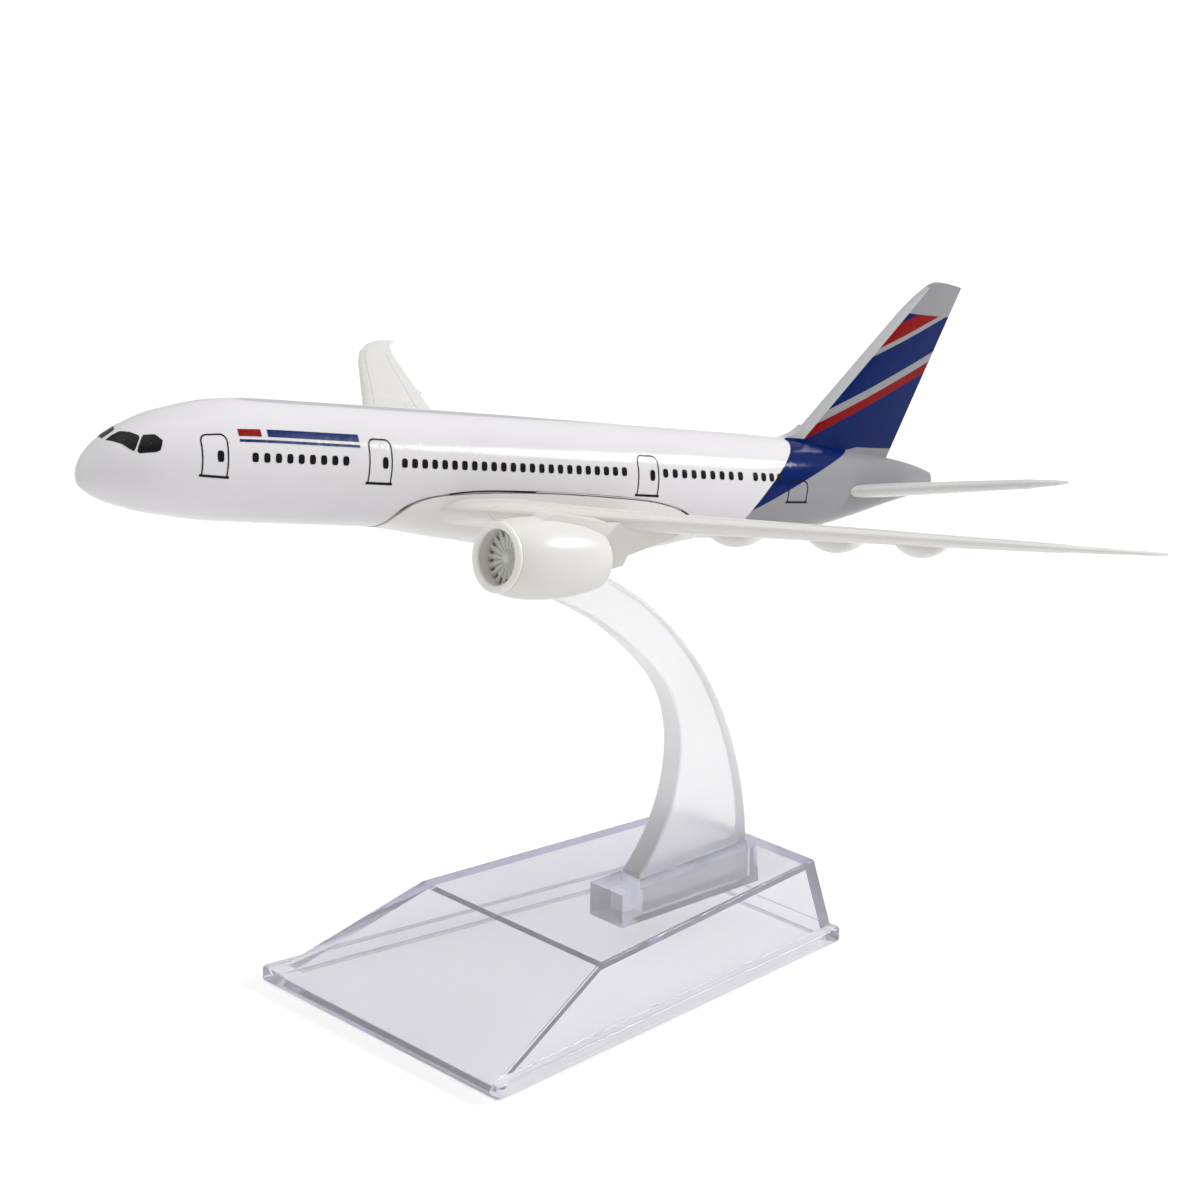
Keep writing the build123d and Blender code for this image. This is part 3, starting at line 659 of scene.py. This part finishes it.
def print_markings():
    """Windows, doors, cockpit glass, seam line and trim stripes."""
    black = Print()
    blue = Print()
    red = Print()
    first_window = WINDOW_ROWS[0][1]
    for side in (-1, 1):
        for front, back, sill, height, window in DOORS:
            black.ribbon(rounded_door(front, back, sill, height), LINE_HALF, side)
            black.ribbon([(front - SILL_OVERHANG, sill), (back + SILL_OVERHANG, sill)], SILL_HALF, side)
            if window:
                black.disc(window, *DOOR_WINDOW_HALF, side)
        for count, first, last in WINDOW_ROWS:
            for k in range(count):
                station = first + (last - first) * k / (count - 1)
                black.disc((station, WINDOW_Z + WINDOW_RISE * (station - first_window)), *WINDOW_HALF, side)
        for outline in (FRONT_PANE, SIDE_PANE):
            black.grid(pane(outline, side))
        seam = smooth_path([(station, z + SEAM_RAISE) for station, z in SEAM], SEAM_STEPS)
        black.ribbon(seam, SEAM_HALF, side, SEAM_TAPER)
        blue.ribbon([(TRIM_SPLIT_BACK, TRIM_Z), (TRIM_BACK, TRIM_Z)], TRIM_HALF, side)
        blue.ribbon([(TRIM_FRONT, PINSTRIPE_Z), (TRIM_BACK, PINSTRIPE_Z)], PINSTRIPE_HALF, side)
        red.ribbon([(TRIM_FRONT, TRIM_Z), (TRIM_SPLIT_FRONT, TRIM_Z)], TRIM_HALF, side)
    black.piece("black_markings", ink("black_ink", INK))
    blue.piece("blue_trim", ink("blue_ink", BLUE))
    red.piece("red_trim", ink("red_ink", RED))


# ---- raised panels on the wings ----------------------------------------------

WING = (  # distance out, leading edge, trailing edge, thickness
    (6.2, 52.2, 89.0, 4.6),
    (9.0, 54.9, 87.4, 3.5),
    (16.0, 59.8, 86.5, 3.0),
    (28.0, 68.5, 85.8, 2.5),
    (48.0, 83.1, 95.8, 1.95),
    (68.0, 97.6, 106.0, 1.25),
    (74.0, 102.5, 109.2, 0.95),
    (78.2, 107.0, 112.0, 0.7),
    (80.4, 110.4, 114.2, 0.5),
    (81.2, 113.2, 115.4, 0.35),
)
WING_ROOT = (8.0, -4.05)  # distance out and height of the mean line
WING_SLOPE = math.tan(math.radians(8.9))
TAILPLANE = (
    (3.0, 133.5, 151.7, 2.1),
    (23.6, 154.9, 161.1, 1.25),
    (25.5, 157.4, 161.8, 0.9),
    (26.3, 159.7, 162.1, 0.5),
)
TAIL_ROOT = (136.6, 6.0, 0.95)  # station, distance out and height where the leading edge leaves the body
TAIL_SLOPE = math.tan(math.radians(13.8))
TAIL_INCIDENCE = math.radians(3.4)
EDGE_HALF = 0.16  # half the thickness of a trailing edge

PANEL_LIFT = 0.07
PANEL_ROOT = 0.05  # how deep a panel's rim goes into the casting
PANEL_GAP = 0.26
PANEL_BEVEL = 0.06
PANEL_EDGE = 0.012  # share of a panel's width that its bevel takes up
PANEL_ROW = 2.0  # largest step outwards between a panel's points
LANES_PER_SHARE = 14
SLOPE_STEP = 0.02  # step to each side that a surface's slope is found over
SHARE_END = 0.999  # last share that the slope is taken at, just inside the trailing edge


def section_at(rows, y):
    """Leading edge, chord and thickness of a lifting surface at a distance out."""
    for inner, outer in zip(rows, rows[1:]):
        if y <= outer[0]:
            break
    share = (y - inner[0]) / (outer[0] - inner[0])
    leading, trailing, thick = (a + (b - a) * share for a, b in zip(inner[1:], outer[1:]))
    return leading, trailing - leading, thick


def half_depth(x, thick):
    """Half the depth of the aerofoil at a share of its chord."""
    bulge = 2.97 * math.sqrt(x) - 1.26 * x - 3.52 * x**2 + 2.84 * x**3 - 1.03 * x**4
    return max(bulge * thick / 2, 0) + EDGE_HALF * x


def wing_spot(side, y, share):
    """Point on a wing: share runs from -1 under the trailing edge, over the leading edge, to 1."""
    leading, chord, thick = section_at(WING, y)
    x = share * share if abs(share) < 1 else 1.0
    z = WING_ROOT[1] + (y - WING_ROOT[0]) * WING_SLOPE
    return place(leading + x * chord, side * y, z + math.copysign(half_depth(x, thick), share))


def tail_spot(side, y, share):
    """Point on a tailplane, given as on a wing."""
    leading, chord, thick = section_at(TAILPLANE, y)
    x = share * share if abs(share) < 1 else 1.0
    depth = math.copysign(half_depth(x, thick), share)
    z = TAIL_ROOT[2] + (y - TAIL_ROOT[1]) * TAIL_SLOPE + (leading - TAIL_ROOT[0]) * math.tan(TAIL_INCIDENCE)
    back = x * chord
    station = leading + back * math.cos(TAIL_INCIDENCE) - depth * math.sin(TAIL_INCIDENCE)
    height = z + back * math.sin(TAIL_INCIDENCE) + depth * math.cos(TAIL_INCIDENCE)
    return place(station, side * y, height)


def steps_with_edges(count):
    """Even steps from 0 to 1, with one more near each end for a bevel."""
    steps = [k / (count - 1) for k in range(1, count - 1)]
    return [0.0, PANEL_EDGE, *steps, 1.0 - PANEL_EDGE, 1.0]


class Panels:
    """Collects thin closed plates that follow a lifting surface."""

    def __init__(self, spot, side):
        self.spot = spot
        self.side = side
        self.points = []
        self.faces = []

    def normal(self, y, share):
        """Outward direction of the surface."""
        side = self.side
        out = self.spot(side, y + SLOPE_STEP, share) - self.spot(side, y - SLOPE_STEP, share)
        ahead = self.spot(side, y, min(share + SLOPE_STEP, SHARE_END))
        behind = self.spot(side, y, max(share - SLOPE_STEP, -SHARE_END))
        return ((ahead - behind).cross(out) * side).normalized()

    def plate(self, inner, outer, low, high, lanes=None):
        """Plate from a distance out to another, between the shares low and high, each (inner, outer)."""
        rows = max(3, math.ceil((outer - inner) / PANEL_ROW) + 1)
        lanes = lanes or max(4, math.ceil((high[0] - low[0]) * LANES_PER_SHARE) + 1)
        parts = steps_with_edges(lanes)
        ways = steps_with_edges(rows)
        start = len(self.points)
        width = len(parts)
        height = len(ways)
        for under in (False, True):
            for i, way in enumerate(ways):
                y = inner + (outer - inner) * way
                first = low[0] + (low[1] - low[0]) * way
                last = high[0] + (high[1] - high[0]) * way
                for j, part in enumerate(parts):
                    share = first + (last - first) * part
                    lift = PANEL_LIFT
                    if i in (0, height - 1) or j in (0, width - 1):
                        lift = PANEL_LIFT - PANEL_BEVEL
                    if under:
                        lift = -PANEL_ROOT
                    self.points.append(self.spot(self.side, y, share) + self.normal(y, share) * lift * MM)
        count = width * height
        flip = self.side > 0

        def face(*corners):
            self.faces.append(tuple(reversed(corners)) if flip else tuple(corners))

        for i in range(height - 1):
            for j in range(width - 1):
                a = start + i * width + j
                face(a, a + 1, a + width + 1, a + width)
                face(count + a, count + a + width, count + a + width + 1, count + a + 1)
        ring = [start + j for j in range(width)]
        ring += [start + i * width + width - 1 for i in range(1, height)]
        ring += [start + (height - 1) * width + j for j in range(width - 2, -1, -1)]
        ring += [start + i * width for i in range(height - 2, 0, -1)]
        for first, second in zip(ring, ring[1:] + ring[:1]):
            face(first, count + first, count + second, second)

    def piece(self, name, material, slot):
        return mesh_piece(name, self.points, self.faces, material, smooth=False)


SLAT_ENDS = (10.2, 13.0, 21.4, 29.9, 38.4, 47.3, 56.2, 64.3, 74.0)  # distances out
FLAP_ENDS = (10.2, 23.5, 27.5, 46.0, 64.5, 73.0)
SKIN_ENDS = (10.2, 23.5, 46.0, 73.0)
SPOILER_ENDS = (10.2, 16.1, 22.0, 27.9, 33.8, 39.7, 45.6)
SPOILERS_OUT = 46.0  # outside this distance the skin runs on to the flaps
SLAT_LANES = 12
SLAT_BACK = 0.37  # shares of the way round the surface
SPOILER_FRONT = 0.76
FLAP_FRONT = 0.86
FLAP_BACK = 0.985
BELLY_FRONT = -0.34
GAP_SHARE = 0.7  # share moved for each share of the chord, at mid-chord
SLAT_GAP = 1.6  # how much more of a share the same gap takes up further forward
BELLY_GAP = 2.0
TAIL_PANEL_ENDS = ((6.6, 14.6), (14.8, 23.2))
TAIL_LANES = 20
ELEVATOR_FRONT = 0.82
ELEVATOR_BACK = 0.98


def gap_share(y, rows=WING):
    """Half a panel gap, as a share at mid-chord."""
    return PANEL_GAP / 2 / section_at(rows, y)[1] * GAP_SHARE


def panel_ends(ends):
    """Inner and outer distance of each panel between neighbouring ends, less half a gap."""
    half = PANEL_GAP / 2
    return [(inner + half, outer - half) for inner, outer in zip(ends, ends[1:])]


def moved(share, gaps, times):
    """A share at a panel's inner and outer end, moved by a number of half gaps."""
    return tuple(share + gap * times for gap in gaps)


def dress_wing(side, hand, material):
    """Slats, fixed skins, spoilers and flaps of one wing."""
    panels = Panels(wing_spot, side)
    for a, b in panel_ends(SLAT_ENDS):
        gaps = (gap_share(a), gap_share(b))
        panels.plate(a, b, (BELLY_FRONT, BELLY_FRONT), moved(SLAT_BACK, gaps, -SLAT_GAP), SLAT_LANES)
    for a, b in panel_ends(FLAP_ENDS):
        gaps = (gap_share(a), gap_share(b))
        panels.plate(a, b, moved(FLAP_FRONT, gaps, 1), (FLAP_BACK, FLAP_BACK))
        panels.plate(a, b, (-FLAP_BACK, -FLAP_BACK), moved(-FLAP_FRONT, gaps, -1))
    for a, b in panel_ends(SKIN_ENDS):
        gaps = (gap_share(a), gap_share(b))
        back = SPOILER_FRONT if a < SPOILERS_OUT else FLAP_FRONT
        panels.plate(a, b, moved(SLAT_BACK, gaps, SLAT_GAP), moved(back, gaps, -1))
        panels.plate(a, b, moved(-FLAP_FRONT, gaps, 1), moved(BELLY_FRONT, gaps, -BELLY_GAP))
    for a, b in panel_ends(SPOILER_ENDS):
        gaps = (gap_share(a), gap_share(b))
        panels.plate(a, b, moved(SPOILER_FRONT, gaps, 1), moved(FLAP_FRONT, gaps, -1))
    panels.piece("wing_panels_" + hand, material, "off_white_paint")


def dress_tailplane(side, hand, material):
    """Fixed skin and elevator of one tailplane."""
    panels = Panels(tail_spot, side)
    for a, b in TAIL_PANEL_ENDS:
        gaps = (gap_share(a, TAILPLANE), gap_share(b, TAILPLANE))
        panels.plate(a, b, moved(-ELEVATOR_FRONT, gaps, 1), moved(ELEVATOR_FRONT, gaps, -1), TAIL_LANES)
        panels.plate(a, b, moved(ELEVATOR_FRONT, gaps, 1), (ELEVATOR_BACK, ELEVATOR_BACK))
        panels.plate(a, b, (-ELEVATOR_BACK, -ELEVATOR_BACK), moved(-ELEVATOR_FRONT, gaps, -1))
    panels.piece("tailplane_panels_" + hand, material, "grey_paint")


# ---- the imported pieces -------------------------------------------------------


def dress_nodes():
    """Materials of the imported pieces."""
    # paint: colour, shade, roughness, size and depth of the orange peel in millimetres
    casting = paint("casting_paint", OFF_WHITE, OFF_WHITE_SHADE, 0.3, 1.1, 0.004).material
    tail = paint("tail_paint", TAIL_GREY, TAIL_SHADE, 0.28, 1.1, 0.003).material
    lip = paint("lip_paint", LIP_CREAM, LIP_SHADE, 0.2, 1.0, 0.004).material
    plug = paint("plug_paint", PLUG_GREY, PLUG_SHADE, 0.4, 0.6, 0.006).material
    # clear plastic: tint, roughness, share of light let through, colour through its thickness, density
    base = clear_plastic("base_plastic", (0.94, 0.94, 0.942, 1.0), 0.01, 0.88, LAVENDER, 40.0)
    arm = clear_plastic("arm_plastic", (0.92, 0.92, 0.93, 1.0), 0.3, 0.68, PALE_GREY, 0.2)
    looks = {
        "fuselage": (livery_paint(), "gloss_livery"),
        "wing_cradle": (casting, "off_white_paint"),
        "tailplane": (tail, "grey_paint"),
        "nacelle": (casting, "off_white_paint"),
        "inlet_ring": (lip, "off_white_paint"),
        "fan": (fan_paint(), "fan_grey"),
        "exhaust_plug": (plug, "fan_grey"),
        "cradle_screws": (brushed_steel(), "screw_steel"),
        "base_shell": (base, "clear_base"),
        "display_arm": (arm, "clear_arm"),
    }
    for name, obj in nodes.items():
        kind = name.replace("_left", "").replace("_right", "")
        material, slot = looks[kind]
        finish_with(obj, material)
    for side, hand in ((-1, "left"), (1, "right")):
        dress_wing(side, hand, casting)
        dress_tailplane(side, hand, tail)


make_camera()
scene.view_settings.view_transform = "Standard"
make_floor()
make_sky()
for lamp in SOFTBOXES:
    softbox(*lamp)
dress_nodes()
print_markings()
